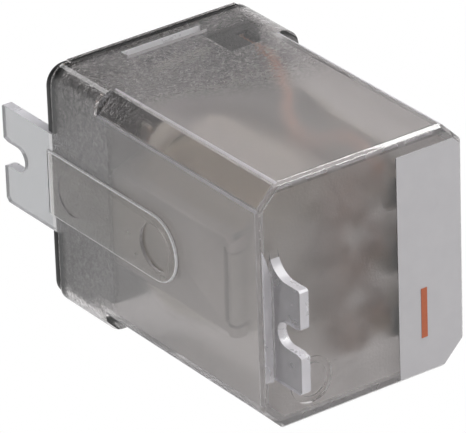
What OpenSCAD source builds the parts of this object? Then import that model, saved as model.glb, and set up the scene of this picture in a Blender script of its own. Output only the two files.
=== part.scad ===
// Flange-mount plug-in power relay, three poles, changeover.
// +Y points into the socket, +Z up, -X is the side with the mounting tabs.
// The origin is the centre of the base's seating face.

/* [Cover] */
// Width of the cover across the mounting side
cover_w = 35.6; // [34:0.1:44]
// Distance from the outer poles to the cover's faces above and below them
pole_room = 9.1; // [9:0.1:13]
// Length of the cover, from its open edge to its end face
cover_len = 50; // [49:0.5:62]
// Wall of the cover
cover_wall = 1.5; // [1.2:0.1:1.8]
// Length of the square-cornered collar at the open edge
collar_len = 11.6; // [10:0.1:14]
// Corner radius of the collar and of the base
collar_r = 3; // [2:0.1:4]
// Corner chamfer of the cover beyond the collar
corner_cut = 3.5; // [2.5:0.1:4.2]
// Small bevel round the end face
end_bevel = 0.5; // [0.2:0.05:0.8]

/* [Mounting tabs] */
// Length of the tab beside the base, beyond the seating face
base_tab_len = 11.8; // [9:0.1:15]
// Height of the tab beside the base
base_tab_h = 15.8; // [12:0.1:20]
// Middle of the tab beside the base, above the plug axis
base_tab_z = 0.5; // [-2:0.1:2]
// Length of the tab beyond the end face
end_tab_len = 6.9; // [6:0.1:10]
// Height of the tab on the end face
end_tab_h = 16.5; // [12:0.1:18]
// Middle of the tab on the end face, above the plug axis
end_tab_z = -2.4; // [-4:0.05:0]
// How far the end tab is set in from the mounting side
end_tab_inset = 1.8; // [1:0.1:3]
// Root fillet of the end tab
end_tab_fillet = 3.8; // [2:0.1:5]
// Width of the screw slots
slot_w = 3.9; // [3:0.1:5]
// Depth of the screw slots
slot_depth = 5.4; // [4:0.1:5.8]
// Extra width of the slots at their mouth
slot_flare = 0.35; // [0:0.05:0.8]

/* [Base] */
// Thickness of the base flange
flange_t = 1.4; // [1.2:0.1:2.5]
// Depth of the base block inside the cover, from the seating face
block_depth = 14.2; // [13.8:0.1:17.2]
// How far the base block reaches beyond the outer poles
block_edge = 3.8; // [3.3:0.1:4.8]
// Length of the keying peg
peg_len = 2.4; // [2:0.1:6]
// Radius of the keying peg
peg_r = 0.9; // [0.6:0.1:2]
// Place of the keying peg across the base
peg_x = -5.2; // [-7:0.1:4]

/* [Terminals] */
// Distance between poles
pole_pitch = 10.2; // [10:0.1:12.4]
// Width of a blade
blade_w = 4.75; // [4:0.05:4.8]
// Thickness of a blade
blade_t = 0.8; // [0.6:0.05:1]
// Length of a blade below the seating face
blade_len = 8; // [6:0.1:12]
// Row of the coil blades
coil_row = -10.2; // [-10.6:0.1:-9.8]
// Row of the common blades
common_row = -3.2; // [-3.6:0.1:-2.8]
// Row of the normally open blades
no_row = 4.8; // [4.6:0.1:5.2]
// Row of the normally closed blades
nc_row = 11.8; // [11.6:0.1:12]

/* [Magnet] */
// Thickness of the steel frame
frame_t = 1.6; // [1.2:0.1:2]
// Height of the steel frame
frame_h = 14.6; // [12:0.1:14.8]
// Room for the armature and contacts, from the frame's end to the cover's end wall
end_room = 8.9; // [8.6:0.1:12]
// Gap between the frame and the cover's wall
frame_gap = 0.8; // [0.6:0.05:1]
// Radius of the core
core_r = 3.4; // [2.5:0.1:3.8]
// Radius of the taped coil
coil_r = 8.6; // [7:0.1:8.8]
// Thickness of the coil's tape
tape_t = 0.6; // [0.3:0.1:1]
// Gap between the pole face and the open armature
pole_gap = 1.2; // [1.15:0.05:1.6]
// Thickness of the armature
armature_t = 1.6; // [1.4:0.1:2]

/* [Contacts] */
// Thickness of a moving arm
arm_t = 0.5; // [0.3:0.05:0.6]
// Width of a moving arm
arm_w = 5; // [4:0.1:5]
// Distance of the contacts from the plug axis
contact_x = 8; // [7.8:0.1:8.2]
// Radius of a contact
contact_r = 1.9; // [1.5:0.1:2]
// Thickness of a contact
contact_t = 0.9; // [0.6:0.1:0.9]
// Gap to the open contact at rest
open_gap = 1.9; // [1.85:0.05:2.1]
// Gap left between closed contacts
touch_gap = 0.15; // [0.1:0.05:0.2]

/* [Leads and spring] */
// Radius of a copper braid
braid_r = 0.9; // [0.6:0.1:1]
// Radius of a sleeved coil lead
sleeve_r = 1.5; // [1:0.1:1.6]
// Radius of the return spring
spring_r = 1.1; // [0.9:0.1:1.2]
// Wire radius of the return spring
spring_wire = 0.2; // [0.15:0.05:0.25]

/* [Markings] */
// Near edge of the bare label
label_x = 6.1; // [4:0.1:10]
// Distance from the top of the cover to the label
label_drop = 2.7; // [1:0.1:5]
// Thickness of the label
label_t = 0.12; // [0.1:0.01:0.2]
// Width of the coloured coil mark
mark_w = 1.05; // [0.5:0.05:2]
// Length of the coloured coil mark
mark_len = 7.9; // [4:0.1:12]

/* [Hidden] */
$fn = 64;

// Clearance of a push fit
fit = 0.05;
// Clearance of a part that drops into the cover
drop_fit = 0.15;
// Length that surely cuts through
far = 120;

half_w = cover_w / 2;
half_h = pole_pitch + pole_room;
cover_h = 2 * half_h;
block_h = pole_pitch + block_edge;
end_y = -(flange_t + cover_len);
collar_y = -(flange_t + collar_len);
inner_w = half_w - cover_wall;
inner_h = half_h - cover_wall;
inner_end = end_y + cover_wall;
// Distance of the corner chamfer planes from the plug axis
cut_d = (half_w + half_h - corner_cut) / sqrt(2);
end_tab_x = -half_w + end_tab_inset;
pad_h = 10.5;
pad_rise = 0.35;
pad_tip = 30.4;
pad_mark_v = 4.4;
pad_mark_r = 3.3;
dimple_r = 3.6;
dimple_x = -9.3;
dimple_z = -13.2;
window_w = 14;
window_v0 = 2.4;
window_v1 = 4;
// How far the base's snap lugs reach into the windows
snap_bite = 0.4;
bead_t = 1;
bead_rise = 0.35;

poles = [pole_pitch, 0, -pole_pitch];

plate_x0 = -(inner_w - frame_gap);
plate_x1 = plate_x0 + frame_t;
foot_y = -block_depth;
plate_end = inner_end + end_room;
core_x = -4.6;
foot_x1 = core_x + 6.6;
core_seat_r = 2;
pole_r = core_r + 1.2;
pole_t = 1.3;
pole_y = plate_end + 0.2;
armature_back = pole_y - pole_gap;
armature_front = armature_back - armature_t;
hinge_x = (plate_x0 + plate_x1) / 2;
hinge_y = (armature_back + armature_front) / 2;
pin_r = 0.6;
pin_running = 0.05;
knuckle_r = 1.15;
eye_r = 1.3;
eye_t = 1.5;
armature_x1 = 3.2;
armature_h = frame_h + 0.6;
flange_r = 9;
bobbin_bore = core_r + 0.1;
bobbin_t = 0.8;
bobbin_flange = 1;
bobbin_y0 = foot_y - frame_t;
bobbin_y1 = pole_y + pole_t;

carrier_t = 1.8;
carrier_x0 = -3;
carrier_x1 = no_row - blade_t / 2;
carrier_h = 2 * pole_pitch + arm_w + 1;
arm_back = armature_front - carrier_t;
arm_front = arm_back - arm_t;
arm_x0 = -1.5;
arm_x1 = contact_x + 2.2;
clamp_t = 1.2;
clamp_x1 = 3.4;
rivet_r = 1.1;
rivet_x = 0.7;
rivet_head = 0.6;
nc_face = arm_front - contact_t - touch_gap;
no_face = arm_back + contact_t + open_gap;
bar_half = 2.1;

link_z = 4.4;
lug_x = nc_row - 0.6;
lug_w = 2.4;
lug_end = foot_y + 6.2;
link_y0 = lug_end;
link_y1 = foot_y + 9.2;
// The base's tower under the cover's top wall
tower_x0 = 5.8;
tower_x1 = 14;
tower_end = collar_y + 0.1;
notch_x = tower_x1 - 2.6;
notch_y = collar_y + 5.2;
// Half width of the slots for the lugs and their braids
lug_room = 1.05;
blade_hole_r = 0.7;
blade_tip = 1;

coil_strip_end = foot_y - 2;
screw_x = -9.3;
screw_z = 5;
screw_r = 1.25;
screw_head_r = 2.2;
screw_head_t = 1.8;

// Shape (x, z) carried along Y from y0 to y1
module along_y(y0, y1) {
    translate([0, y1, 0]) rotate([90, 0, 0]) linear_extrude(y1 - y0) children();
}

// Cylinder along Y from y0 to y1
module rod_y(x, z, y0, y1, r) {
    translate([x, y1, z]) rotate([90, 0, 0]) cylinder(h = y1 - y0, r = r);
}

// Block between two opposite corners
module block(a, b) {
    translate(a) cube(b - a);
}

// Rectangle with round corners, centred
module round_rect(w, h, r) {
    for (sx = [-1, 1], sz = [-1, 1]) translate([sx * (w / 2 - r), sz * (h / 2 - r)]) circle(r);
    square([w - 2 * r, h], center = true);
    square([w, h - 2 * r], center = true);
}

// Rectangle with its four corners cut at 45 degrees, centred
module cut_rect(w, h, c) {
    polygon([[-w / 2, -h / 2 + c], [-w / 2 + c, -h / 2], [w / 2 - c, -h / 2], [w / 2, -h / 2 + c],
        [w / 2, h / 2 - c], [w / 2 - c, h / 2], [-w / 2 + c, h / 2], [-w / 2, h / 2 - c]]);
}

// Slab with a bevelled far end, its faces half away from the plug axis at angle a
module bevelled_slab(a, half) {
    rotate([0, a, 0]) linear_extrude(far, center = true) polygon([[-half, 0], [-half, end_y + end_bevel],
        [-half + end_bevel, end_y], [half - end_bevel, end_y], [half, end_y + end_bevel], [half, 0]]);
}

// Tube of radius r swept along the points p, which never run along ref
function unit(v) = v / norm(v);
function heading(p, i) = unit(p[min(i + 1, len(p) - 1)] - p[max(i - 1, 0)]);
module tube(p, r, sides, ref = [1, 0, 0]) {
    n = len(p);
    rings = [for (i = [0:n - 1]) let (d = heading(p, i), u = unit(cross(d, ref)), v = cross(d, u))
        for (k = [0:sides - 1]) p[i] + r * (cos(360 * k / sides) * u + sin(360 * k / sides) * v)];
    walls = [for (i = [0:n - 2]) for (k = [0:sides - 1]) let (a = i * sides + k,
        b = i * sides + (k + 1) % sides) [a, a + sides, b + sides, b]];
    polyhedron(rings, concat([[for (k = [0:sides - 1]) k]], walls,
        [[for (k = [sides - 1:-1:0]) (n - 1) * sides + k]]));
}

// Points of a smooth curve through the control points c
function bend(c, i, t) = let (a = c[max(i - 1, 0)], b = c[i], d = c[i + 1], e = c[min(i + 2, len(c) - 1)])
    0.5 * ((2 * b) + (d - a) * t + (2 * a - 5 * b + 4 * d - e) * t * t + (3 * b - a - 3 * d + e) * t * t * t);
function smooth(c, steps) = concat([for (i = [0:len(c) - 2]) for (s = [0:steps - 1]) bend(c, i, s / steps)],
    [c[len(c) - 1]]);

// Outline of a U slot that opens towards +u at the origin
module slot_outline() {
    translate([-slot_depth + slot_w / 2, 0]) circle(slot_w / 2);
    polygon([[-slot_depth + slot_w / 2, -slot_w / 2], [-1, -slot_w / 2], [1, -slot_w / 2 - 2 * slot_flare],
        [1, slot_w / 2 + 2 * slot_flare], [-1, slot_w / 2], [-slot_depth + slot_w / 2, slot_w / 2]]);
}

// Tab beside the base, as a shape (y, z)
module base_tab_outline() {
    nick = 0.6;
    difference() {
        translate([0, base_tab_z]) polygon([[-flange_t - 1, -base_tab_h / 2],
            [base_tab_len - nick, -base_tab_h / 2], [base_tab_len, -base_tab_h / 2 + nick],
            [base_tab_len, base_tab_h / 2 - nick / 2], [base_tab_len - nick / 2, base_tab_h / 2],
            [-flange_t - 1, base_tab_h / 2]]);
        translate([base_tab_len, base_tab_z + 0.2]) slot_outline();
    }
}

// Tab on the end face, as a shape (y, z) with its root at y = 0 and growing towards -y
module end_tab_outline() {
    nick = 0.6;
    top = end_tab_z + end_tab_h / 2;
    low = end_tab_z - end_tab_h / 2;
    difference() {
        union() {
            polygon([[1, low], [-end_tab_len + nick, low], [-end_tab_len, low + nick],
                [-end_tab_len, top - nick / 2], [-end_tab_len + nick / 2, top], [1, top]]);
            difference() {
                translate([-end_tab_fillet, top - 1]) square([end_tab_fillet + 1, end_tab_fillet + 1]);
                translate([-end_tab_fillet, top + end_tab_fillet]) circle(end_tab_fillet);
            }
        }
        translate([-end_tab_len, end_tab_z]) mirror([1, 0]) slot_outline();
    }
}

// Shape (y, z) made into a plate from x0 to x1
module plate_yz(x0, x1) {
    translate([x0, 0, 0]) rotate([90, 0, 90]) linear_extrude(x1 - x0) children();
}

module cover_shell() {
    difference() {
        union() {
            intersection() {
                along_y(end_y, collar_y + 1) cut_rect(cover_w, cover_h, corner_cut);
                bevelled_slab(0, half_w);
                bevelled_slab(90, half_h);
                bevelled_slab(45, cut_d);
                bevelled_slab(-45, cut_d);
            }
            along_y(collar_y, -flange_t) round_rect(cover_w, cover_h, collar_r);
            for (s = [-1, 1]) block([-half_w + collar_r, -flange_t - bead_t, s > 0 ? 0 : -half_h - bead_rise],
                [half_w - collar_r, -flange_t, s > 0 ? half_h + bead_rise : 0]);
        }
        along_y(inner_end, 1) cut_rect(2 * inner_w, 2 * inner_h, corner_cut - cover_wall * (2 - sqrt(2)));
        along_y(collar_y + cover_wall, 1) round_rect(2 * inner_w, 2 * inner_h, collar_r - cover_wall);
        block([-window_w / 2, -flange_t - window_v1, -far], [window_w / 2, -flange_t - window_v0, far]);
    }
}

module cover() {
    pad_z = base_tab_z;
    root_top = end_tab_z + end_tab_h / 2 + end_tab_fillet;
    root_low = end_tab_z - end_tab_h / 2 - 0.3;
    color([0.82, 0.82, 0.83, 0.45]) {
        difference() {
            union() {
                cover_shell();
                plate_yz(-half_w, -inner_w) base_tab_outline();
                translate([0, end_y, 0]) plate_yz(end_tab_x, end_tab_x + cover_wall) end_tab_outline();
                block([-half_w - pad_rise, -flange_t - pad_tip + pad_h / 2, pad_z - pad_h / 2],
                    [-half_w + 0.5, 0, pad_z + pad_h / 2]);
                translate([-half_w - pad_rise, -flange_t - pad_tip + pad_h / 2, pad_z]) rotate([0, 90, 0])
                    cylinder(h = pad_rise + 0.5, r = pad_h / 2);
                along_y(end_y - 0.25, end_y + 0.2) polygon([[-half_w + end_bevel, root_top],
                    [end_tab_x, root_top - end_tab_fillet], [end_tab_x, root_low - 0.2],
                    [-half_w + end_bevel, root_low]]);
            }
            translate([-half_w - pad_rise - 0.5, -flange_t - pad_tip + pad_h / 2, pad_z]) rotate([0, 90, 0])
                cylinder(h = 1, r = dimple_r);
            translate([-half_w - pad_rise - 0.85, -flange_t - pad_mark_v, pad_z]) rotate([0, 90, 0])
                cylinder(h = 1, r = pad_mark_r);
            rod_y(dimple_x, dimple_z, end_y - 1, end_y + 0.5, dimple_r);
        }
        rod_y(dimple_x, dimple_z, end_y, end_y + 0.6, dimple_r - 1);
    }
}

// Flat strip that rises from a blade to y_end: width along Z, thickness along X
module blade(row, z, y_end) {
    w = blade_w / 2;
    translate([0, 0, z]) difference() {
        plate_yz(row - blade_t / 2, row + blade_t / 2) polygon([[y_end, -w], [blade_len - blade_tip, -w],
            [blade_len, -w + blade_tip], [blade_len, w - blade_tip], [blade_len - blade_tip, w], [y_end, w]]);
        translate([row - blade_t, blade_len * 0.65, 0]) rotate([0, 90, 0]) cylinder(h = 2 * blade_t,
            r = blade_hole_r);
    }
}

// Link and lug of a common terminal at pole height z, grown by g for its slot in the base
module common_link(z, g, y_end) {
    block([common_row - blade_t / 2 - g, y_end == 0 ? link_y0 : y_end, z - blade_w / 2 - g],
        [common_row + blade_t / 2 + g, link_y1 + g, z + link_z + blade_t + g]);
    block([common_row - blade_t / 2 - g, y_end == 0 ? link_y0 : y_end, z + link_z - g],
        [lug_x + blade_t / 2 + g, link_y1 + g, z + link_z + blade_t + g]);
    block([lug_x - blade_t / 2 - g, y_end == 0 ? lug_end : y_end, z + link_z - g],
        [lug_x + blade_t / 2 + g, link_y1 + g, z + link_z + lug_w + g]);
}

module common_terminal(z) {
    color("gainsboro") {
        blade(common_row, z, link_y0);
        common_link(z, 0, 0);
    }
}

module nc_terminal(z) {
    bar_y = nc_face - contact_t;
    color("gainsboro") {
        blade(nc_row, z, bar_y - blade_t);
        block([contact_x - bar_half, bar_y - blade_t, z - blade_w / 2],
            [nc_row + blade_t / 2, bar_y, z + blade_w / 2]);
    }
}

module no_terminal(z) {
    bar_y = no_face + contact_t;
    color("gainsboro") {
        blade(no_row, z, bar_y);
        block([no_row - blade_t / 2, bar_y, z - blade_w / 2],
            [contact_x + bar_half, bar_y + blade_t, z + blade_w / 2]);
    }
}

module coil_terminal(z) {
    color("gainsboro") blade(coil_row, z, coil_strip_end);
}

module slot_box(row, z, y0) {
    block([row - blade_t / 2 - fit, y0, z - blade_w / 2 - fit],
        [row + blade_t / 2 + fit, 1, z + blade_w / 2 + fit]);
}

module tower() {
    translate([0, 0, block_h - 1]) linear_extrude(inner_h - drop_fit - 0.2 - block_h + 1)
        polygon([[tower_x0, -flange_t], [tower_x1, -flange_t], [tower_x1, notch_y],
            [notch_x, tower_end], [tower_x0, tower_end]]);
}

module base() {
    lug_w2 = window_w - 0.6;
    color([0.09, 0.09, 0.1]) difference() {
        union() {
            along_y(-flange_t, 0) round_rect(cover_w - 0.4, cover_h - 1.2, collar_r);
            along_y(-flange_t - 5.2, -flange_t + 0.1) round_rect(2 * (inner_w - drop_fit),
                2 * (inner_h - drop_fit), collar_r - cover_wall);
            block([-inner_w + drop_fit, foot_y, -block_h], [inner_w - drop_fit - 1, -flange_t, block_h]);
            tower();
            for (s = [-1, 1])
                block([-lug_w2 / 2, -flange_t - window_v1 + 0.15, s > 0 ? 0 : -inner_h - snap_bite],
                    [lug_w2 / 2, -flange_t - window_v0 - 0.15, s > 0 ? inner_h + snap_bite : 0]);
            rod_y(peg_x, half_h - 2.8, -1, peg_len, peg_r);
        }
        for (z = poles) {
            slot_box(nc_row, z, -far);
            slot_box(no_row, z, -far);
            slot_box(common_row, z, -far / 2);
            common_link(z, fit, -far);
            block([lug_x - lug_room, -far, z + lug_mid - 1.3],
                [lug_x + lug_room, lug_end + fit, z + lug_mid + 1.3]);
        }
        for (s = [-1, 1]) {
            slot_box(coil_row, s * pole_pitch, -far);
            rod_y(screw_x, s * screw_z, -far, 1, screw_r + fit);
            rod_y(screw_x, s * screw_z, -screw_head_t - 0.4, 1, screw_head_r + 0.2);
        }
        block([lug_x - lug_room, -far, block_h + 0.2], [lug_x + lug_room, lug_end + fit, far]);
        block([-far, -flange_t - 1.2, base_tab_z - base_tab_h / 2 - drop_fit],
            [-inner_w + drop_fit, 1, base_tab_z + base_tab_h / 2 + drop_fit]);
    }
}

module frame() {
    eye_z = frame_h / 2 - eye_t;
    color("silver") difference() {
        union() {
            block([plate_x0, plate_end, -frame_h / 2], [plate_x1, foot_y, frame_h / 2]);
            block([plate_x0, foot_y - frame_t, -frame_h / 2], [foot_x1, foot_y, frame_h / 2]);
            for (s = [0, 1]) mirror([0, 0, s]) {
                translate([hinge_x, hinge_y, eye_z]) cylinder(h = eye_t, r = eye_r);
                block([plate_x0, hinge_y, eye_z], [plate_x1, plate_end + 1, frame_h / 2]);
            }
        }
        translate([hinge_x, hinge_y, -far / 2]) cylinder(h = far, r = pin_r);
        rod_y(core_x, 0, foot_y - far / 10, foot_y + 1, core_seat_r);
        for (s = [-1, 1]) rod_y(screw_x, s * screw_z, foot_y - frame_t - 1, foot_y + 1, screw_r);
    }
}

module frame_screws() {
    color("silver") for (s = [-1, 1]) difference() {
        union() {
            rod_y(screw_x, s * screw_z, foot_y - frame_t, -0.4, screw_r);
            rod_y(screw_x, s * screw_z, -0.4 - screw_head_t, -0.4, screw_head_r);
        }
        block([screw_x - far, -1, s * screw_z - 0.3], [screw_x + far, 1, s * screw_z + 0.3]);
    }
}

ring_r0 = 2.5;
ring_r1 = 3.4;
ring_t = 0.8;

module ring_y(y0, y1, r0, r1) {
    difference() {
        rod_y(core_x, 0, y0, y1, r1);
        rod_y(core_x, 0, y0 - 1, y1 + 1, r0);
    }
}

module core() {
    color("silver") difference() {
        union() {
            rod_y(core_x, 0, bobbin_y0 - fit, foot_y, core_seat_r);
            rod_y(core_x, 0, pole_y, bobbin_y0, core_r);
            rod_y(core_x, 0, pole_y, pole_y + pole_t, pole_r);
        }
        ring_y(pole_y - 1, pole_y + ring_t, ring_r0, ring_r1);
    }
}

module shading_ring() {
    color("peru") ring_y(pole_y, pole_y + ring_t, ring_r0, ring_r1);
}

module bobbin() {
    r = bobbin_bore + bobbin_t;
    color("beige") intersection() {
        union() {
            ring_y(bobbin_y1, bobbin_y0, bobbin_bore, r);
            ring_y(bobbin_y0 - bobbin_flange, bobbin_y0, bobbin_bore, flange_r);
            ring_y(bobbin_y1, bobbin_y1 + bobbin_flange, bobbin_bore, flange_r);
        }
        block([plate_x1 + 0.2, -far, -far], [no_row - blade_t / 2 - 0.2, 0, far]);
    }
}

coil_y0 = bobbin_y1 + bobbin_flange;
coil_y1 = bobbin_y0 - bobbin_flange;

module coil_winding() {
    color("peru") ring_y(coil_y0, coil_y1, bobbin_bore + bobbin_t, coil_r - tape_t);
}

module coil_tape() {
    color("antiquewhite") ring_y(coil_y0, coil_y1, coil_r - tape_t, coil_r);
}

// Route of a sleeved lead, from a coil terminal over the coil to the tape near the far flange
lead_turn = 38;
lead_z = pole_pitch + 0.8;
lead_end_y = coil_y0 + 2.2;
lead_run = coil_strip_end - lead_end_y;
function lead_at(t) = coil_strip_end - t * lead_run;
function over_coil(angle, r, y) = [core_x + r * sin(angle), y, r * cos(angle)];
lead_points = [[coil_row, coil_strip_end, lead_z], [coil_row, coil_strip_end - 1, lead_z],
    [coil_row, coil_strip_end - 1.8, lead_z], over_coil(-20, 13.7, lead_at(0.15)),
    over_coil(-12, 14.5, lead_at(0.24)), over_coil(-1, 15, lead_at(0.39)),
    over_coil(3, 14.9, lead_at(0.6)), over_coil(5.5, 14.6, lead_at(0.81)),
    over_coil(12, 14.3, lead_at(0.97)), over_coil(23, 13.8, lead_end_y - 0.6),
    over_coil(32, 13, lead_end_y - 0.7), over_coil(37, 11.7, lead_end_y - 0.3),
    over_coil(lead_turn, coil_r + 1.7, lead_end_y), over_coil(lead_turn, coil_r + 0.8, lead_end_y),
    over_coil(lead_turn, coil_r, lead_end_y)];

module coil_lead() {
    color("antiquewhite") tube(smooth(lead_points, 4), sleeve_r, 12);
}

module hinge_pin() {
    color("silver") translate([hinge_x, hinge_y, 0]) cylinder(h = frame_h + 0.6, r = pin_r, center = true);
}

module armature() {
    knuckle_h = frame_h - 2 * eye_t - 0.6;
    body_x0 = hinge_x + eye_r + 0.3;
    color("lightgray") difference() {
        union() {
            translate([hinge_x, hinge_y, 0]) cylinder(h = knuckle_h, r = knuckle_r, center = true);
            block([hinge_x, armature_front, -knuckle_h / 2], [body_x0 + 1, armature_back, knuckle_h / 2]);
            block([body_x0, armature_front, -armature_h / 2], [armature_x1, armature_back, armature_h / 2]);
        }
        translate([hinge_x, hinge_y, 0]) cylinder(h = far, r = pin_r + pin_running, center = true);
        rivet_bores();
    }
}

module rivet_bores() {
    for (s = [-1, 1]) rod_y(rivet_x, s * pole_pitch / 2, arm_front - far / 2, armature_back + 1, rivet_r);
}

module contact_carrier() {
    color("burlywood") difference() {
        block([carrier_x0, arm_back, -carrier_h / 2], [carrier_x1, armature_front, carrier_h / 2]);
        rivet_bores();
    }
}

module arm_clamp() {
    color("burlywood") difference() {
        block([carrier_x0 + 1, arm_front - clamp_t, -carrier_h / 2], [clamp_x1, arm_front, carrier_h / 2]);
        rivet_bores();
    }
}

module carrier_rivets() {
    top = arm_front - clamp_t;
    color("silver") for (s = [-1, 1]) {
        rod_y(rivet_x, s * pole_pitch / 2, top, armature_back, rivet_r);
        rod_y(rivet_x, s * pole_pitch / 2, top - rivet_head, top, rivet_r + 0.6);
    }
}

module moving_arm(z) {
    color("darkgoldenrod") translate([0, 0, z]) {
        block([arm_x0, arm_front, -arm_w / 2], [contact_x, arm_back, arm_w / 2]);
        translate([contact_x, 0, 0]) rod_y(0, 0, arm_front, arm_back, 2.2);
    }
}

// Contact button at pole height z, its foot at y0 and its face at y1
module button(z, y0, y1) {
    rod_y(contact_x, z, min(y0, y1), max(y0, y1), contact_r);
}

module moving_contacts() {
    color("silver") for (z = poles) {
        button(z, arm_back, arm_back + contact_t);
        button(z, arm_front, arm_front - contact_t);
    }
}

module nc_contacts() {
    color("silver") for (z = poles) button(z, nc_face - contact_t, nc_face);
}

module no_contacts() {
    color("silver") for (z = poles) button(z, no_face, no_face + contact_t);
}

// Route of a copper braid from its lug to its moving arm, measured from the pole
braid_end_y = arm_front - braid_r;
braid_x = contact_x - 2.8;
lug_mid = link_z + lug_w / 2;
braid_mid_x = (no_row + nc_row) / 2;
function braid_at(t) = lug_end + t * (arm_front - lug_end);
braid_points = [[lug_x, lug_end, lug_mid], [lug_x, lug_end - 2, lug_mid],
    [lug_x, foot_y - 0.4, lug_mid], [lug_x - 0.6, foot_y - 2.6, 4.9],
    [braid_mid_x + 1.2, braid_at(0.32), 3.2], [braid_mid_x + 0.3, braid_at(0.43), 1.6],
    [braid_mid_x - 0.4, braid_at(0.56), 1.2], [braid_mid_x - 1.2, braid_at(0.69), 2.4],
    [braid_mid_x - 1.9, braid_at(0.8), 4.2],
    [braid_x + 0.8, arm_front + 4.3, 4.9], [braid_x + 0.6, arm_front + 0.9, 4.8],
    [braid_x + 0.1, braid_end_y, 3.6], [braid_x, braid_end_y, 2.6], [braid_x, braid_end_y, 1.4]];

module pigtail(z) {
    color("peru") translate([0, 0, z]) tube(smooth(braid_points, 4), braid_r, 10);
}

module return_spring() {
    spring_x = 1.4;
    turns = 3;
    y0 = armature_back + spring_wire;
    y1 = bobbin_y1 - spring_wire;
    steps = 20;
    coil = [for (i = [0:turns * steps]) [spring_x + spring_r * cos(360 * i / steps),
        y1 + (y0 - y1) * i / (turns * steps), spring_r * sin(360 * i / steps)]];
    color("silver") tube(coil, spring_wire, 6, [0, 1, 0]);
}

module end_patch(x0, x1, z0, z1, y0, y1) {
    margin = end_bevel + 0.1;
    intersection() {
        block([x0, y0, z0], [x1, y1, z1]);
        along_y(y0 - 1, y1 + 1) cut_rect(cover_w - 2 * margin, cover_h - 2 * margin,
            corner_cut - margin * (2 - sqrt(2)));
    }
}

module label() {
    color("gainsboro") end_patch(label_x, far, -far, half_h - label_drop, end_y - label_t, end_y);
}

mark_x = 10;
mark_z = -13.2;

module coil_mark() {
    color("chocolate") end_patch(mark_x, mark_x + mark_w, mark_z, mark_z + mark_len, end_y - label_t - 0.06,
        end_y - label_t);
}

cover();
base();
nc_terminal(poles[0]);  // nc_terminal_1
nc_terminal(poles[1]);  // nc_terminal_2
nc_terminal(poles[2]);  // nc_terminal_3
no_terminal(poles[0]);  // no_terminal_1
no_terminal(poles[1]);  // no_terminal_2
no_terminal(poles[2]);  // no_terminal_3
common_terminal(poles[0]);  // common_terminal_1
common_terminal(poles[1]);  // common_terminal_2
common_terminal(poles[2]);  // common_terminal_3
coil_terminal(poles[0]);  // coil_terminal_1
coil_terminal(poles[2]);  // coil_terminal_2
frame();
frame_screws();
core();
shading_ring();
bobbin();
coil_winding();
coil_tape();
coil_lead();  // coil_lead_1
mirror([0, 0, 1]) coil_lead();  // coil_lead_2
hinge_pin();
armature();
contact_carrier();
arm_clamp();
carrier_rivets();
moving_arm(poles[0]);  // moving_arm_1
moving_arm(poles[1]);  // moving_arm_2
moving_arm(poles[2]);  // moving_arm_3
moving_contacts();
nc_contacts();
no_contacts();
pigtail(poles[0]);  // pigtail_1
pigtail(poles[1]);  // pigtail_2
pigtail(poles[2]);  // pigtail_3
return_spring();
label();
coil_mark();
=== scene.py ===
import math

import bpy
from mathutils import Matrix, Vector


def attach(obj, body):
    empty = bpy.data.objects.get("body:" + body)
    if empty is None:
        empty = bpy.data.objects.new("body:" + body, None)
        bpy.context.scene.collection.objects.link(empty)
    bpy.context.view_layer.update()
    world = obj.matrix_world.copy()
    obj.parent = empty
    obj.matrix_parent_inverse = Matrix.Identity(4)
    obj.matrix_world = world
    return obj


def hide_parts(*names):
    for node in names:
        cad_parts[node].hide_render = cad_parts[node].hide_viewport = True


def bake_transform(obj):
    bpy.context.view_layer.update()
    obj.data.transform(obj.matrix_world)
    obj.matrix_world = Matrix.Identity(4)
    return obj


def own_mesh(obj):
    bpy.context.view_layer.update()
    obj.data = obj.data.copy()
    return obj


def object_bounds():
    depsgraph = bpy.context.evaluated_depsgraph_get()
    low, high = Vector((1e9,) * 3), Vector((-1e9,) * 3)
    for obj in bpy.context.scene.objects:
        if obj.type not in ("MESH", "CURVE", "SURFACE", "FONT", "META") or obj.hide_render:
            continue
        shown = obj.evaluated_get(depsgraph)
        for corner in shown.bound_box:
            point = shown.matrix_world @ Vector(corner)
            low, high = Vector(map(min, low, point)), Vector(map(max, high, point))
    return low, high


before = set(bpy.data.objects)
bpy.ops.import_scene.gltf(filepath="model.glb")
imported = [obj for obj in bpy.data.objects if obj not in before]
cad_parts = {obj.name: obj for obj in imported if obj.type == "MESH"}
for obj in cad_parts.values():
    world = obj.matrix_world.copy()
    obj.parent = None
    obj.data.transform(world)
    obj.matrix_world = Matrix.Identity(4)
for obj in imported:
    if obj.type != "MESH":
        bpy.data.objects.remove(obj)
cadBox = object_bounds()
mm = 0.001
noiseLow, noiseHigh = 0.3, 0.7  # the span that a noise texture's values mostly fill
print("frame loaded,", len(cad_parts), "nodes")


# sRGB hex to the linear colour that the shaders read
def linear(hexColour):
    parts = [int(hexColour[i:i + 2], 16) / 255 for i in (1, 3, 5)]
    return tuple(c / 12.92 if c <= 0.04045 else ((c + 0.055) / 1.055) ** 2.4 for c in parts) + (1.0,)


# adds one node; inputs holds values or sockets to link, settings its other choices
def addNode(material, kind, inputs=None, **settings):
    node = material.node_tree.nodes.new(kind)
    for name, value in settings.items():
        setattr(node, name, value)
    for name, value in (inputs or {}).items():
        if isinstance(value, bpy.types.NodeSocket):
            material.node_tree.links.new(value, node.inputs[name])
        else:
            node.inputs[name].default_value = value
    return node


# a material whose Principled shader takes the given values and links
def startMaterial(name, **values):
    material = bpy.data.materials.new(name)
    material.use_nodes = True
    finishShader(material, **values)
    place = addNode(material, "ShaderNodeTexCoord")
    return material, place.outputs["Object"]


def finishShader(material, **values):
    shader = material.node_tree.nodes["Principled BSDF"]
    for socket, value in values.items():
        target = shader.inputs[socket.replace("_", " ")]
        if isinstance(value, bpy.types.NodeSocket):
            material.node_tree.links.new(value, target)
        else:
            target.default_value = value


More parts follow.
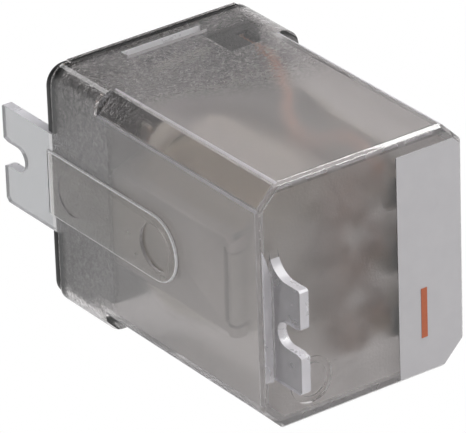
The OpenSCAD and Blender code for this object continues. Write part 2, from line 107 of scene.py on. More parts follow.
# texture scale for features of this size in mm, on object coordinates in metres
def grain(size):
    return 1 / (size * mm)


# Injection-moulded clear polycarbonate
coverLook = {
    "ior": 1.585, "inner": "#DFDBDA", "nearRoughness": 0.12, "endRoughness": 0.6,
    "endHaze": 0.09,  # share of the light that the end wall scatters
    "pebble": 0.5, "pebbleDepth": 0.22, "crown": (0.42, 0.64),  # mm, mm, heights from flank to crown
    "fadeAcross": (-9.0, 3.0), "fadeStart": -14.0,  # mm along X, mm along Y
    "contact": {"x": (5.6, 14.0), "y": (-13.1, -5.7), "cut": (14.0, -7.8, 11.4, -12.9), "soft": 0.25},  # mm
}
# its polished surfaces: material, colour, roughness, share of the light scattered, specular level
polishedSurfaces = {
    "polished": ("polishedPolycarbonate", "#E3E0E0", 0.05, 0.0, 0.5),
    # the rounded corners: a lighter colour and a haze that paint a highlight along them
    "edge": ("paintedHighlightEdge", "#E9E7EC", 0.5, 0.25, 0.1),
    # the ledge's outward face: a dark grey that paints shade onto it, on the same clear polycarbonate
    "ledge": ("paintedShadeLedge", "#77777B", 0.1, 0.0, 0.5),
    "tab": ("clearTab", "#CBCCCE", 0.12, 0.25, 0.5),
    "endTab": ("hazyTab", "#BFBEC3", 0.2, 0.12, 0.5),
    # the tabs' edges: a light colour and a strong haze that paint a highlight along them
    "tabEdge": ("paintedHighlightTabEdge", "#E9E7EC", 0.3, 0.5, 0.5),
    "pad": ("frostedPad", "#D4CFCA", 0.2, 0.15, 0.5),
    # the strips of the end face over its solid top and bottom walls: a darker grey, painted shade
    "seam": ("paintedShadeEndBand", "#A5A3A6", 0.25, 0.0, 0.5),
    # the pad's outline and the window rims: near white and mostly scattering, a painted highlight
    "rim": ("paintedHighlightRim", "#FBFAFC", 0.3, 0.85, 0.5),
}
# its textured inner faces: share of the light scattered among the pebbles and beyond them, roughness beyond
# them, where the pebbles end in mm along Y, and how much further they reach on the +X side
texturedSurfaces = {
    # the top scatters more than the sides and the corner so that it shows lighter: painted light for the
    # top's brighter lighting
    "texturedTop": (0.34, 0.45, 0.06, -23.0, -8.0),
    "texturedSide": (0.24, 0.25, 0.22, -16.5, 0.0),
    "texturedCorner": (0.1, 0.19, 0.14, -25.0, 0.0),
}


# Clear polycarbonate off a polished mould: clear and glossy outside, a little smoky. A haze scatters
# part of the light. On the rounded edges, rims and tab edges a high haze and a lighter colour paint a
# highlight, and darker colours on the ledge and the end band paint shade
def polishedPolycarbonate(name, colour, roughness, haze, gloss):
    material, place = startMaterial(
        name, Base_Color=linear(colour), IOR=coverLook["ior"], Transmission_Weight=1.0 - haze,
        Specular_IOR_Level=gloss)
    flow = addNode(material, "ShaderNodeTexNoise", {"Vector": place, "Scale": grain(3.0), "Detail": 3.0})
    rough = addNode(material, "ShaderNodeMapRange", {
        0: flow.outputs[0], "From Min": noiseLow, "From Max": noiseHigh, "To Min": roughness * 0.7,
        "To Max": roughness * 1.4})
    bump = addNode(material, "ShaderNodeBump", {
        "Height": flow.outputs[0], "Strength": 0.5, "Distance": 0.01 * mm})
    finishShader(material, Roughness=rough.outputs[0], Normal=bump.outputs[0])
    return material


# The same polycarbonate off a spark-eroded mould face: pebbled by the open edge, where only what is close
# behind it shows sharp, and evenly frosted further in. Where the base's tower presses on it, it looks wet
def texturedPolycarbonate(name, nearHaze, farHaze, farRoughness, fadeEnd, fadeMore):
    material, place = startMaterial(
        name, Base_Color=linear(coverLook["inner"]), IOR=coverLook["ior"])
    axes = addNode(material, "ShaderNodeSeparateXYZ", {0: place})
    across, along = axes.outputs["X"], axes.outputs["Y"]
    fadeLow, fadeHigh = coverLook["fadeAcross"]
    fade = addNode(material, "ShaderNodeMapRange", {
        0: across, "From Min": fadeLow * mm, "From Max": fadeHigh * mm, "To Min": fadeEnd * mm,
        "To Max": (fadeEnd + fadeMore) * mm})
    near = addNode(material, "ShaderNodeMapRange", {
        0: along, "From Min": fade.outputs[0], "From Max": coverLook["fadeStart"] * mm},
        interpolation_type="SMOOTHSTEP")
    contact = coverLook["contact"]
    soft = contact["soft"]
    x0, y0, x1, y1 = contact["cut"]
    slope = (y0 - y1) / (x0 - x1)
    leaning = addNode(material, "ShaderNodeMath", {0: across, 1: slope}, operation="MULTIPLY")
    slanted = addNode(material, "ShaderNodeMath", {0: leaning.outputs[0], 1: along}, operation="SUBTRACT")
    beyond = (slope * x0 - y0) * mm
    corner = addNode(material, "ShaderNodeMapRange", {
        0: slanted.outputs[0], "From Min": beyond, "From Max": beyond - soft * mm})
    inside = corner.outputs[0]
    for socket, (low, high) in ((across, contact["x"]), (along, contact["y"])):
        for edge, step in ((low, soft), (high, -soft)):
            side = addNode(material, "ShaderNodeMapRange", {
                0: socket, "From Min": edge * mm, "From Max": (edge + step) * mm})
            inside = addNode(
                material, "ShaderNodeMath", {0: inside, 1: side.outputs[0]}, operation="MULTIPLY").outputs[0]
    free = addNode(material, "ShaderNodeMath", {0: 1.0, 1: inside}, operation="SUBTRACT", use_clamp=True)
    pebbled = addNode(
        material, "ShaderNodeMath", {0: near.outputs[0], 1: free.outputs[0]}, operation="MULTIPLY")
    height = addNode(material, "ShaderNodeTexNoise", {
        "Vector": place, "Scale": grain(coverLook["pebble"]), "Detail": 2.5, "Roughness": 0.6,
        "Distortion": 0.6})
    shown = addNode(
        material, "ShaderNodeMath", {0: height.outputs[0], 1: pebbled.outputs[0]}, operation="MULTIPLY")
    bump = addNode(material, "ShaderNodeBump", {
        "Height": shown.outputs[0], "Strength": 1.0, "Distance": coverLook["pebbleDepth"] * mm})
    rough = addNode(material, "ShaderNodeMapRange", {
        0: near.outputs[0], "To Min": farRoughness, "To Max": coverLook["nearRoughness"]})
    flank, top = coverLook["crown"]
    crown = addNode(material, "ShaderNodeMapRange", {
        0: height.outputs[0], "From Min": flank, "From Max": top, "To Min": 1.0, "To Max": 1.0 - nearHaze})
    haze = addNode(material, "ShaderNodeMix", {
        0: near.outputs[0], 2: 1.0 - farHaze, 3: crown.outputs[0]})
    clear = addNode(material, "ShaderNodeMath", {0: haze.outputs[0], 1: inside}, operation="MAXIMUM")
    finishShader(
        material, Roughness=rough.outputs[0], Normal=bump.outputs[0], Transmission_Weight=clear.outputs[0])
    return material


# Its end wall, frosted inside: a soft veil with a broad mottle over a fine one
def frostedPolycarbonate():
    material, place = startMaterial(
        "frostedPolycarbonate", Base_Color=linear(coverLook["inner"]), IOR=coverLook["ior"])
    veil = addNode(material, "ShaderNodeTexNoise", {"Vector": place, "Scale": grain(3.2), "Detail": 5.0})
    fine = addNode(material, "ShaderNodeTexNoise", {"Vector": place, "Scale": grain(0.45), "Detail": 2.0})
    rough = addNode(material, "ShaderNodeMapRange", {
        0: veil.outputs[0], "From Min": noiseLow, "From Max": noiseHigh,
        "To Min": coverLook["endRoughness"] - 0.1, "To Max": coverLook["endRoughness"] + 0.1})
    haze = addNode(material, "ShaderNodeMapRange", {
        0: veil.outputs[0], "From Min": 0.38, "From Max": 0.62, "To Min": 1.0 - 2.2 * coverLook["endHaze"],
        "To Max": 1.0})
    bump = addNode(material, "ShaderNodeBump", {
        "Height": fine.outputs[0], "Strength": 1.0, "Distance": 0.05 * mm})
    finishShader(
        material, Roughness=rough.outputs[0], Normal=bump.outputs[0], Transmission_Weight=haze.outputs[0])
    return material


# Compression-moulded phenolic: near black, dull, with a faint flow mottle
def blackPhenolic():
    material, place = startMaterial("blackPhenolic", IOR=1.6, Specular_IOR_Level=0.2)
    mottle = addNode(material, "ShaderNodeTexNoise", {"Vector": place, "Scale": grain(0.6), "Detail": 5.0})
    colour = addNode(material, "ShaderNodeMix", {
        0: mottle.outputs[0], 6: linear("#070708"), 7: linear("#151517")}, data_type="RGBA")
    rough = addNode(material, "ShaderNodeMapRange", {0: mottle.outputs[0], "To Min": 0.32, "To Max": 0.5})
    bump = addNode(material, "ShaderNodeBump", {
        "Height": mottle.outputs[0], "Strength": 0.4, "Distance": 0.03 * mm})
    finishShader(material, Base_Color=colour.outputs[2], Roughness=rough.outputs[0], Normal=bump.outputs[0])
    return material


# A plain metal surface: two tones in a soft mottle, rolling or grinding marks along one axis. Real marks
# lie some hundredths of a mm apart, and these are coarser so that they show
def metal(name, dark, light, roughness, marks, stretch, depth=0.01):
    material, place = startMaterial(name, Metallic=1.0)
    lined = addNode(material, "ShaderNodeMapping", {"Vector": place, "Scale": stretch})
    streaks = addNode(material, "ShaderNodeTexNoise", {
        "Vector": lined.outputs[0], "Scale": grain(marks), "Detail": 4.0})
    stain = addNode(material, "ShaderNodeTexNoise", {"Vector": place, "Scale": grain(2.2), "Detail": 3.0})
    colour = addNode(material, "ShaderNodeMix", {
        0: stain.outputs[0], 6: linear(dark), 7: linear(light)}, data_type="RGBA")
    rough = addNode(material, "ShaderNodeMapRange", {
        0: streaks.outputs[0], "From Min": noiseLow, "From Max": noiseHigh, "To Min": roughness - 0.08,
        "To Max": roughness + 0.1})
    bump = addNode(material, "ShaderNodeBump", {
        "Height": streaks.outputs[0], "Strength": 0.5, "Distance": depth * mm})
    finishShader(material, Base_Color=colour.outputs[2], Roughness=rough.outputs[0], Normal=bump.outputs[0])
    return material


# A dull insulating material: two tones, a fine grain
def insulation(name, dark, light, roughness, size, depth, **values):
    material, place = startMaterial(name, **values)
    spots = addNode(material, "ShaderNodeTexNoise", {"Vector": place, "Scale": grain(size), "Detail": 4.0})
    colour = addNode(material, "ShaderNodeMix", {
        0: spots.outputs[0], 6: linear(dark), 7: linear(light)}, data_type="RGBA")
    bump = addNode(material, "ShaderNodeBump", {
        "Height": spots.outputs[0], "Strength": 0.6, "Distance": depth * mm})
    finishShader(material, Base_Color=colour.outputs[2], Roughness=roughness, Normal=bump.outputs[0])
    return material


looks = {name: polishedPolycarbonate(*values) for name, values in polishedSurfaces.items()}
looks |= {name: texturedPolycarbonate(name, *values) for name, values in texturedSurfaces.items()}
looks |= {
    "frosted": frostedPolycarbonate(),
    "phenolic": blackPhenolic(),
    "brass": metal("tinnedBrass", "#B9B7AE", "#D6D3C9", 0.34, 0.12, (1, 0.1, 1)),
    "zinc": metal("zincPlatedSteel", "#B3AFAB", "#D0CBC7", 0.42, 0.15, (1, 0.15, 1)),
    "iron": metal("nickelPlatedIron", "#A8A6A2", "#C6C2BB", 0.40, 0.1, (1, 1, 0.2)),
    "copper": metal("bareCopper", "#9A6148", "#C08A6C", 0.36, 0.1, (1, 1, 1)),
    "winding": metal("enamelledCopper", "#7A3A1E", "#A8552C", 0.3, 0.12, (0.05, 1, 0.05), 0.03),
    "bronze": metal("phosphorBronze", "#A67C4C", "#C79A66", 0.34, 0.12, (0.1, 1, 1)),
    "silver": metal("contactSilver", "#C9C8C4", "#E4E3DF", 0.3, 0.2, (1, 1, 1)),
    "spring": metal("springSteel", "#8C8D90", "#B4B5B8", 0.3, 0.1, (1, 1, 1)),
    "nylon": insulation("nylon66", "#CFC8B6", "#DDD7C6", 0.45, 0.8, 0.02, IOR=1.53),
    "tape": insulation("polyesterTape", "#B9B0A0", "#CFC7B8", 0.35, 1.2, 0.03),
    "sleeve": insulation("wovenGlassSleeving", "#F1EBDD", "#FBF8F0", 0.75, 0.3, 0.06),
    "laminate": insulation("phenolicPaperLaminate", "#7A5A45", "#957560", 0.5, 0.5, 0.03),
    "film": insulation("printedFilm", "#B2B0B3", "#BBB9BB", 0.4, 2.5, 0.005),
    "ink": insulation("orangeInk", "#A4512C", "#B85F38", 0.5, 0.4, 0.01),
}
print("materials made")


def selectOnly(piece):
    bpy.ops.object.select_all(action="DESELECT")
    piece.select_set(True)
    bpy.context.view_layer.objects.active = piece


# a merged copy of a CAD node's mesh, to be given rounded edges
def copyOfNode(nodeName, pieceName):
    piece = bpy.data.objects.new(pieceName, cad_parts[nodeName].data.copy())
    bpy.context.scene.collection.objects.link(piece)
    piece.data.materials.clear()
    selectOnly(piece)
    bpy.ops.object.mode_set(mode="EDIT")
    bpy.ops.mesh.select_all(action="SELECT")
    bpy.ops.mesh.customdata_custom_splitnormals_clear()
    bpy.ops.mesh.remove_doubles(threshold=0.001 * mm)
    bpy.ops.mesh.dissolve_limited(angle_limit=math.radians(0.5))
    bpy.ops.object.mode_set(mode="OBJECT")
    return piece


coverShape = {
    "halfW": 17.8, "halfH": 19.3, "inner": (16.4, 17.9),  # mm
    "seat": -0.3, "innerStart": -1.3, "innerEnd": -49.95, "end": -51.4,
    "tabBack": -14.4, "tabRoot": {"x": -15.5, "y": (-51.67, -51.5)},
    "pad": {
        "face": -17.2, "z": (-5.0, 6.0), "y": (-31.9, -0.4), "middle": 0.5, "nose": -26.5, "rim": 4.6,
        "top": -18.1},
    "window": {"x": 7.1, "y": (-5.6, -3.6)},
    "ledge": {"x": -13.0, "z": 14.0, "y": (-16.0, -8.0)},
    "cornerRound": 0.3, "padRound": 0.24, "close": 0.05,
}
coverSlots = [
    "polished", "texturedTop", "texturedSide", "texturedCorner", "edge", "ledge", "tab", "endTab", "tabEdge",
    "frosted", "pad", "rim", "seam"]
cover = copyOfNode("cover", "coverShell")
bpy.ops.object.mode_set(mode="EDIT")
bpy.ops.mesh.select_all(action="SELECT")
# the tab's faces part from the wall's in the same plane, and the end's rim from its middle
bpy.ops.mesh.bisect(plane_co=(0, coverShape["seat"] * mm, 0), plane_no=(0, 1, 0))
for level in (-coverShape["inner"][1], coverShape["inner"][1]):
    bpy.ops.mesh.select_all(action="SELECT")
    bpy.ops.mesh.bisect(plane_co=(0, 0, level * mm), plane_no=(0, 0, 1))
bpy.ops.object.mode_set(mode="OBJECT")
for name in coverSlots:
    cover.data.materials.append(looks[name])
halfW, halfH = coverShape["halfW"], coverShape["halfH"]
innerW, innerH = coverShape["inner"]
seat, end, innerEnd, close = (coverShape[name] for name in ("seat", "end", "innerEnd", "close"))
pad, window, ledge, tabRoot = (coverShape[name] for name in ("pad", "window", "ledge", "tabRoot"))


# distance in mm from the middle line of the raised pad to a point on it
def offSpine(c):
    return math.hypot(max(pad["nose"] - c.y, 0), c.z - pad["middle"])


# which surface a face of the cover is, from its middle in mm and its normal
def lookOfFace(c, normal):
    facing = [abs(part) > 0.9 for part in normal]
    outward = normal.y < -0.9  # facing away from the base
    if c.x < coverShape["tabBack"] and (c.y > seat + 2 * close or c.y < end - 6 * close):
        flat = "tab" if c.y > seat else "endTab"
        return flat if facing[0] else "tabEdge"
    if c.x < tabRoot["x"] and tabRoot["y"][0] < c.y < tabRoot["y"][1]:
        return "tabEdge"
    if abs(c.y - innerEnd) < 3 * close and abs(c.x) < innerW:
        return "frosted"
    if abs(c.x) < innerW and abs(c.z) < innerH and innerEnd + 3 * close < c.y < coverShape["innerStart"]:
        if facing[2]:
            return "texturedTop"
        return "texturedSide" if facing[0] else "texturedCorner"
    if c.x < pad["face"] and pad["z"][0] < c.z < pad["z"][1] and pad["y"][0] < c.y < pad["y"][1]:
        if facing[0]:
            return "pad" if abs(c.x + halfW) > 2 * close else "polished"
        return "rim" if offSpine(c) > pad["rim"] else "polished"
    # the ledge's outward face takes the painted shade
    if outward and c.x < ledge["x"] and c.z > ledge["z"] and ledge["y"][0] < c.y < ledge["y"][1]:
        return "ledge"
    across, along = abs(c.x) < window["x"], window["y"][0] < c.y < window["y"][1]
    if facing[1] and across and along and innerH < abs(c.z) < halfH:
        return "rim"
    # the end face's top and bottom strips take the painted shade
    if outward and abs(c.y - end) < close and abs(c.z) > innerH:
        return "seam"
    return "polished"


for face in cover.data.polygons:
    face.material_index = coverSlots.index(lookOfFace(face.center / mm, face.normal))


# selects the edges whose two ends, in mm, the test accepts, and leaves the piece in edit mode
def selectEdges(piece, test):
    selectOnly(piece)
    bpy.ops.object.mode_set(mode="EDIT")
    bpy.ops.mesh.select_mode(type="EDGE")
    bpy.ops.mesh.select_all(action="DESELECT")
    bpy.ops.object.mode_set(mode="OBJECT")
    points = [v.co / mm for v in piece.data.vertices]
    found = 0
    for edge in piece.data.edges:
        edge.select = test(points[edge.vertices[0]], points[edge.vertices[1]])
        found += edge.select
    bpy.ops.object.mode_set(mode="EDIT")
    return found


# the walls' long outer corners, and the end face's top and bottom edges
def longCorner(p, q):
    outside = all(max(abs(v.x) - halfW, abs(v.z) - halfH) > -close for v in (p, q))
    atEnd = all(abs(v.y - end) < close and abs(v.z) > halfH - close for v in (p, q))
    return outside and abs(p.y - q.y) > 30 or atEnd and abs(p.x - q.x) > 20


# the outer edges of the raised pad
def padOutline(p, q):
    return all(v.x < pad["top"] and offSpine(v) > pad["rim"] for v in (p, q))


# the pad's outline is rounded with the rim material, a painted highlight along its edge
found = selectEdges(cover, padOutline)
bpy.ops.mesh.bevel(
    offset=coverShape["padRound"] * mm, segments=2, affect="EDGES", clamp_overlap=False,
    material=coverSlots.index("rim"))
bpy.ops.object.mode_set(mode="OBJECT")
# the long corners and the end's edges are rounded with the edge material, whose lighter colour and haze
# paint a highlight
found += selectEdges(cover, longCorner)
bpy.ops.mesh.bevel(
    offset=coverShape["cornerRound"] * mm, segments=3, affect="EDGES", clamp_overlap=False,
    material=coverSlots.index("edge"))
bpy.ops.object.mode_set(mode="OBJECT")
selectOnly(cover)
bpy.ops.object.shade_smooth_by_angle(angle=math.radians(30))
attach(cover, "base")
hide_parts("cover")
print("cover done,", found, "corners rounded")


# a copy of a CAD node with its sharp edges broken, as stamped, moulded or turned parts have them
def roundedCopy(nodeName, pieceName, look, body, width):
    piece = copyOfNode(nodeName, pieceName)
    piece.data.materials.append(looks[look])
    rounding = piece.modifiers.new("brokenEdges", "BEVEL")
    rounding.width = width * mm
    rounding.segments = 2
    rounding.limit_method = "ANGLE"
    rounding.angle_limit = math.radians(40)
    bpy.ops.object.modifier_apply(modifier=rounding.name)
    bpy.ops.object.shade_smooth_by_angle(angle=math.radians(35))
    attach(piece, body)
    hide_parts(nodeName)


# per node: the piece's name, its look, body and material slot, and how much its edges are broken in mm
roundedParts = {
    "base": ("baseMoulding", "phenolic", "base", "black_phenolic", 0.2),
    "frame": ("magnetFrame", "zinc", "base", "zinc_plated_steel", 0.15),
    "frame_screws": ("frameScrews", "zinc", "base", "zinc_plated_steel", 0.15),
    "core": ("coilCore", "iron", "base", "soft_iron", 0.15),
    "bobbin": ("coilBobbin", "nylon", "base", "nylon", 0.2),
    "nc_contacts": ("restingContacts", "silver", "base", "contact_silver", 0.25),
    "no_contacts": ("workingContacts", "silver", "base", "contact_silver", 0.25),
    "armature": ("armaturePlate", "iron", "armature", "soft_iron", 0.15),
    "contact_carrier": ("armCarrier", "laminate", "armature", "laminate", 0.12),
    "arm_clamp": ("armClamp", "laminate", "armature", "laminate", 0.12),
    "carrier_rivets": ("carrierRivets", "zinc", "armature", "zinc_plated_steel", 0.2),
    "moving_contacts": ("movingContacts", "silver", "armature", "contact_silver", 0.25),
}
for k in (1, 2, 3):
    for kind, title in (("nc", "restingTerminal"), ("no", "workingTerminal"), ("common", "commonTerminal")):
        roundedParts[f"{kind}_terminal_{k}"] = (f"{title}{k}", "brass", "base", "tinned_brass", 0.12)
    roundedParts[f"moving_arm_{k}"] = (f"movingArm{k}", "bronze", "armature", "phosphor_bronze", 0.06)
for k in (1, 2):
    roundedParts[f"coil_terminal_{k}"] = (f"coilTerminal{k}", "brass", "base", "tinned_brass", 0.12)
for nodeName, (pieceName, look, body, materialSlot, width) in roundedParts.items():
    roundedCopy(nodeName, pieceName, look, body, width)
print("edges broken on", len(roundedParts), "pieces")


# a smooth route through control points in mm
def smoothRoute(points, steps):
    points = [Vector(p) for p in points]
    last = len(points) - 1
    route = []
    for i in range(last):
        a, b, c, d = points[max(i - 1, 0)], points[i], points[i + 1], points[min(i + 2, last)]
        for s in range(steps):
            t = s / steps
            route.append(0.5 * (2 * b + (c - a) * t + (2 * a - 5 * b + 4 * c - d) * t * t
                                + (3 * b - a - 3 * c + d) * t ** 3))
    return route + [points[last]]


# round wires along routes in mm, made into one mesh
def wireMesh(pieceName, routes, radii, sides, look):
    bpy.ops.object.select_all(action="DESELECT")
    bpy.ops.curve.primitive_nurbs_path_add(location=(0, 0, 0))
    wire = bpy.context.object
    wire.name = pieceName
    wire.data.splines.clear()
    wire.data.bevel_depth = mm
    wire.data.bevel_resolution = sides // 2 - 2
    wire.data.use_fill_caps = True
    wire.data.resolution_u = 1
    for route, radius in zip(routes, radii):
        spline = wire.data.splines.new("POLY")
        spline.points.add(len(route) - 1)
        for i, p in enumerate(route):
            spline.points[i].co = (p.x * mm, p.y * mm, p.z * mm, 1)
            spline.points[i].radius = radius[i] if isinstance(radius, list) else radius
    selectOnly(wire)
    bpy.ops.object.convert(target="MESH")
    wire = bpy.context.object
    wire.data.materials.clear()
    wire.data.materials.append(looks[look])
    bpy.ops.object.mode_set(mode="EDIT")
    bpy.ops.mesh.select_all(action="SELECT")
    bpy.ops.mesh.remove_doubles(threshold=0.0005 * mm)
    bpy.ops.mesh.normals_make_consistent(inside=False)
    bpy.ops.object.mode_set(mode="OBJECT")
    bpy.ops.object.shade_smooth_by_angle(angle=math.radians(50))
    return wire


# distance along a route at each of its points, in mm
def distances(route):
    run = [0.0]
    for p, q in zip(route, route[1:]):
        run.append(run[-1] + (q - p).length)
    return run


# directions across a route, carried along it without twisting
def routeFrames(route):
    last = len(route) - 1
    ahead = [(route[min(i + 1, last)] - route[max(i - 1, 0)]).normalized() for i in range(last + 1)]
    side = ahead[0].orthogonal().normalized()
    frames = []
    for direction in ahead:
        side = (side - direction * side.dot(direction)).normalized()
        frames.append((side, direction.cross(side)))
    return frames


leadShape = {
    "coilX": -4.6, "coilR": 8.6, "row": -10.2, "z": 11.0, "startY": -16.2, "endY": -36.3,  # mm
    "sleeveR": 1.45, "wireR": 0.35, "bareStart": 1.3, "swell": 0.03,  # mm, mm, mm, share of the radius
    "turn": 38,  # degrees round the coil
}


# a point at this angle from the top of the coil, in degrees, and this far from its axis, in mm
def overCoil(angle, radius, y):
    around = math.radians(angle)
    return (leadShape["coilX"] + radius * math.sin(around), y, radius * math.cos(around))


leadStart, leadEnd = leadShape["startY"], leadShape["endY"]
leadRow, leadZ, leadTurn, coilR = (leadShape[name] for name in ("row", "z", "turn", "coilR"))


# the place along Y at this share of the lead's way along the coil
def leadAt(share):
    return leadStart - share * (leadStart - leadEnd)


leadRoute = smoothRoute([
    (leadRow, leadStart, leadZ), (leadRow, leadStart - 1, leadZ), (leadRow, leadStart - 1.8, leadZ),
    overCoil(-20, 13.7, leadAt(0.15)), overCoil(-12, 14.5, leadAt(0.24)), overCoil(-1, 15, leadAt(0.39)),
    overCoil(3, 14.9, leadAt(0.6)), overCoil(5.5, 14.6, leadAt(0.81)), overCoil(12, 14.3, leadAt(0.97)),
    overCoil(23, 13.8, leadEnd - 0.6), overCoil(32, 13, leadEnd - 0.7), overCoil(37, 11.7, leadEnd - 0.3),
    overCoil(leadTurn, coilR + 1.7, leadEnd), overCoil(leadTurn, coilR + 0.8, leadEnd),
    overCoil(leadTurn, coilR, leadEnd)], 6)
sleeveStart = leadStart - leadShape["bareStart"]
for k, side in ((1, 1), (2, -1)):
    route = [Vector((p.x, p.y, p.z * side)) for p in leadRoute]
    sleeved = [p for p in route if p.y < sleeveStart]
    # the woven sleeve swells and narrows a little along its length
    radii = [
        leadShape["sleeveR"] * (1 + leadShape["swell"] * math.sin(1.9 * i)) for i in range(len(sleeved))]
    lead = wireMesh(f"coilLead{k}", [sleeved, route], [radii, leadShape["wireR"]], 16, "sleeve")
    lead.data.materials.append(looks["copper"])
    for face in lead.data.polygons:
        if (face.center / mm).y > sleeveStart + close:
            face.material_index = 1
    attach(lead, "base")
    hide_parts(f"coil_lead_{k}")
    print("coil lead", k, "length", round(distances(route)[-1], 1), "mm")

braidShape = {
    "lug": (11.2, -8.0, 5.6), "foot": -14.2, "midX": 8.3, "arm": (5.2, -46.8, 1.4), "armFront": -45.9,  # mm
    "strands": 6, "strandR": 0.27, "layR": 0.56, "coreR": 0.3, "lay": 5.0, "poles": (10.2, 0.0, -10.2),
}
lugX, lugY, lugZ = braidShape["lug"]
armX, armY, armZ = braidShape["arm"]
foot, midX, armFront = (braidShape[name] for name in ("foot", "midX", "armFront"))


# the place along Y at this share of the braid's way from lug to arm
def braidAt(share):
    return lugY + share * (armFront - lugY)


braidRoute = smoothRoute([
    (lugX, lugY, lugZ), (lugX, lugY - 2, lugZ), (lugX, foot - 0.4, lugZ), (lugX - 0.6, foot - 2.6, 4.9),
    (midX + 1.2, braidAt(0.32), 3.2), (midX + 0.3, braidAt(0.43), 1.6), (midX - 0.4, braidAt(0.56), 1.2),
    (midX - 1.2, braidAt(0.69), 2.4), (midX - 1.9, braidAt(0.8), 4.2),
    (armX + 0.8, armFront + 4.3, 4.9), (armX + 0.6, armFront + 0.9, 4.8), (armX + 0.1, armY, 3.6),
    (armX, armY, 2.6), (armX, armY, armZ)], 10)
for k, pole in enumerate(braidShape["poles"], 1):
    route = [p + Vector((0, 0, pole)) for p in braidRoute]
    frames = routeFrames(route)
    run = distances(route)
    strands = [route]
    radii = [braidShape["coreR"]]
    for n in range(braidShape["strands"]):
        strand = []
        for p, (u, v), distance in zip(route, frames, run):
            angle = 2 * math.pi * (n / braidShape["strands"] + distance / braidShape["lay"])
            strand.append(p + braidShape["layR"] * (u * math.cos(angle) + v * math.sin(angle)))
        strands.append(strand)
        radii.append(braidShape["strandR"])
    braid = wireMesh(f"flexibleBraid{k}", strands, radii, 8, "copper")
    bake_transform(braid)
    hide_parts(f"pigtail_{k}")
    print("braid", k, "length", round(run[-1], 1), "mm")

springShape = {
    "x": 1.4, "radius": 1.1, "wire": 0.2, "fixedY": -39.7, "movingY": -41.6,  # mm
    "turns": 3, "steps": 32,
}
fixedY, movingY, steps = (springShape[name] for name in ("fixedY", "movingY", "steps"))
coils = [
    Vector((
        springShape["x"] + springShape["radius"] * math.cos(2 * math.pi * i / steps),
        fixedY + (movingY - fixedY) * i / (springShape["turns"] * steps),
        springShape["radius"] * math.sin(2 * math.pi * i / steps)))
    for i in range(springShape["turns"] * steps + 1)]
spring = wireMesh("returnSpring", [coils], [springShape["wire"]], 10, "spring")
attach(spring, "base")
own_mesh(spring)
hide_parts("return_spring")
print("return spring done")

# nodes that show as they are, with only their material set
nodeLooks = {
    "shading_ring": "copper", "coil_winding": "winding", "coil_tape": "tape", "hinge_pin": "spring",
    "label": "film", "coil_mark": "ink",
}
for name, look in nodeLooks.items():
    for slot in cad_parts[name].material_slots:
        slot.material = looks[look]

cameraView = {
    "azimuth": -35.334, "elevation": 27.388, "roll": -1.892, "distance": 828.7,  # degrees, mm
    "target": (0.0, -26.41, 0.25), "lens": 448.4, "aside": (-3.472, -0.722),  # mm
}
a, e, r = (math.radians(cameraView[k]) for k in ("azimuth", "elevation", "roll"))
back = Vector((math.sin(a) * math.cos(e), -math.cos(a) * math.cos(e), math.sin(e)))
level = (-back).cross(Vector((0, 0, 1))).normalized()
upright = level.cross(-back).normalized()
right = level * math.cos(r) + upright * math.sin(r)
up = upright * math.cos(r) - level * math.sin(r)
target = Vector(cameraView["target"]) * mm
place = target + back * cameraView["distance"] * mm
aim = target + (right * cameraView["aside"][0] + up * cameraView["aside"][1]) * mm
forward = (aim - place).normalized()
side = forward.cross(up).normalized()
top = side.cross(forward)
bpy.ops.object.camera_add(location=place)
camera = bpy.context.object
camera.name = "photographerCamera"
camera.matrix_world = Matrix((
    (side.x, top.x, -forward.x, place.x), (side.y, top.y, -forward.y, place.y),
    (side.z, top.z, -forward.z, place.z), (0, 0, 0, 1)))
camera.data.lens = cameraView["lens"]
bpy.context.scene.camera = camera

studio = {
    "floorSize": 6.0, "floorGap": 0.2,  # m, mm
    "fill": 0.35, "ceiling": 0.22, "horizon": 0.95, "horizonTop": 0.45,
}
bpy.ops.object.select_all(action="DESELECT")
bpy.ops.mesh.primitive_plane_add(
    size=studio["floorSize"], location=(0, 0, cadBox[0].z - studio["floorGap"] * mm))
floor = bpy.context.object
floor.name = "studioFloor"
# white paper that is plain white wherever it is seen, also through the cover, and catches light otherwise
white, _ = startMaterial("whitePaperSweep", Base_Color=linear("#E8E8E8"), Roughness=0.9)
path = addNode(white, "ShaderNodeLightPath")
direct = addNode(
    white, "ShaderNodeMath", {0: path.outputs["Is Camera Ray"], 1: path.outputs["Is Glossy Ray"]},
    operation="ADD")
seen = addNode(
    white, "ShaderNodeMath", {0: direct.outputs[0], 1: path.outputs["Is Transmission Ray"]},
    operation="ADD", use_clamp=True)
glow = addNode(white, "ShaderNodeEmission", {"Color": (1, 1, 1, 1), "Strength": 1.0})
both = addNode(white, "ShaderNodeMixShader", {
    0: seen.outputs[0], 1: white.node_tree.nodes["Principled BSDF"].outputs[0], 2: glow.outputs[0]})
white.node_tree.links.new(both.outputs[0], white.node_tree.nodes["Material Output"].inputs[0])
floor.data.materials.append(white)

world = bpy.data.worlds.new("studioWorld")
world.use_nodes = True
bpy.context.scene.world = world
fill = world.node_tree.nodes["Background"]
fill.inputs["Color"].default_value = (1, 1, 1, 1)
fill.inputs["Strength"].default_value = studio["fill"]
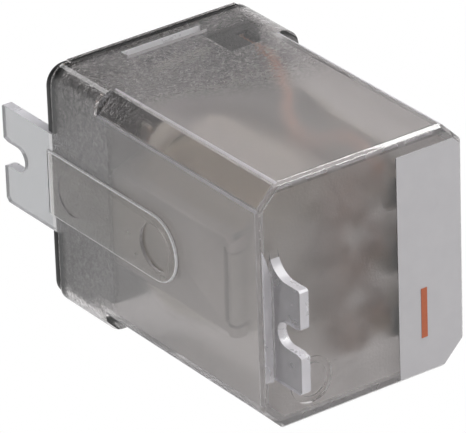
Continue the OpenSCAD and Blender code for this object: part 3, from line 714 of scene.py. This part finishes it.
# what shines reflect: bright at the horizon, dark overhead
path = addNode(world, "ShaderNodeLightPath")
sky = addNode(world, "ShaderNodeTexCoord")
height = addNode(world, "ShaderNodeSeparateXYZ", {0: sky.outputs["Generated"]})
shade = addNode(world, "ShaderNodeMapRange", {
    0: height.outputs["Z"], "From Min": 0.0, "From Max": studio["horizonTop"],
    "To Min": studio["horizon"], "To Max": studio["ceiling"]})
reflected = addNode(world, "ShaderNodeBackground", {
    "Color": (1, 1, 1, 1), "Strength": shade.outputs[0]})
backdrop = addNode(world, "ShaderNodeBackground", {"Color": (1, 1, 1, 1), "Strength": 1.0})
soft = addNode(world, "ShaderNodeMixShader", {
    0: path.outputs["Is Glossy Ray"], 1: fill.outputs[0], 2: reflected.outputs[0]})
straight = addNode(
    world, "ShaderNodeMath", {0: path.outputs["Is Camera Ray"], 1: path.outputs["Is Transmission Ray"]},
    operation="ADD", use_clamp=True)
both = addNode(world, "ShaderNodeMixShader", {
    0: straight.outputs[0], 1: soft.outputs[0], 2: backdrop.outputs[0]})
world.node_tree.links.new(both.outputs[0], world.node_tree.nodes["World Output"].inputs[0])

# softboxes: place and size in m, power in W
lamps = [
    {"name": "frontSoftbox", "place": (0.51, -0.46, 0.72), "size": 0.35, "power": 4.7},
    {"name": "backSoftbox", "place": (0.05, 0.72, 0.68), "size": 0.30, "power": 0.7},
    {"name": "topSoftbox", "place": (0.35, -0.08, 0.93), "size": 0.40, "power": 5.4},
]
lampAim = -26.0  # mm along Y, the body's middle
for lamp in lamps:
    bpy.ops.object.light_add(type="AREA", location=lamp["place"])
    light = bpy.context.object
    light.name = lamp["name"]
    light.data.size = lamp["size"]
    light.data.energy = lamp["power"]
    towards = Vector((0, lampAim * mm, 0)) - Vector(lamp["place"])
    light.rotation_euler = towards.to_track_quat("-Z", "Y").to_euler()
print("camera, floor and lights set")

scene = bpy.context.scene
scene.view_settings.view_transform = "Standard"
scene.cycles.max_bounces = 24
scene.cycles.glossy_bounces = 16
scene.cycles.transmission_bounces = 24
scene.cycles.sample_clamp_indirect = 4.0
